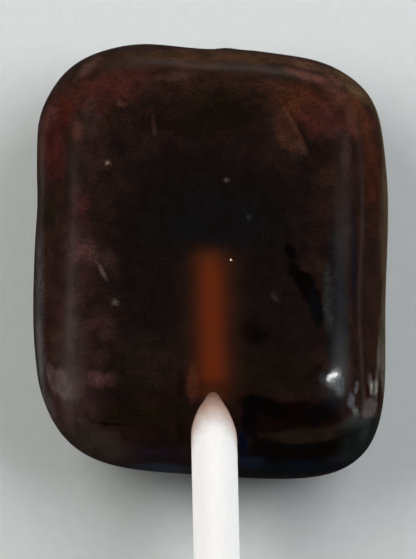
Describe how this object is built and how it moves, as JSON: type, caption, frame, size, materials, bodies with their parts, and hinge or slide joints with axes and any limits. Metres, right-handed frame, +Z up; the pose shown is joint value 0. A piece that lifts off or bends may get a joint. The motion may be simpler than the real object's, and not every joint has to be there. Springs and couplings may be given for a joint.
{
  "type": "barley sugar lollipop",
  "caption": "Pillow-shaped sweet of dark amber boiled sugar, cast round a white paper stick, lying flat on its back.",
  "frame": {"origin": "middle of the head's flat back, on the surface that the lollipop lies on", "axes": "+Z up out of the shown face, +Y from the stick to the head, +X to the right seen from above with the stick towards the viewer"},
  "size_m": [0.0309, 0.1092, 0.0106],
  "materials": {
    "boiled_sugar": "gloss, translucent dark amber",
    "paper": "matt white rolled paper"
  },
  "bodies": {
    "root": {"sugar_head": "boiled_sugar", "stick": "paper"}
  },
  "joints": []
}
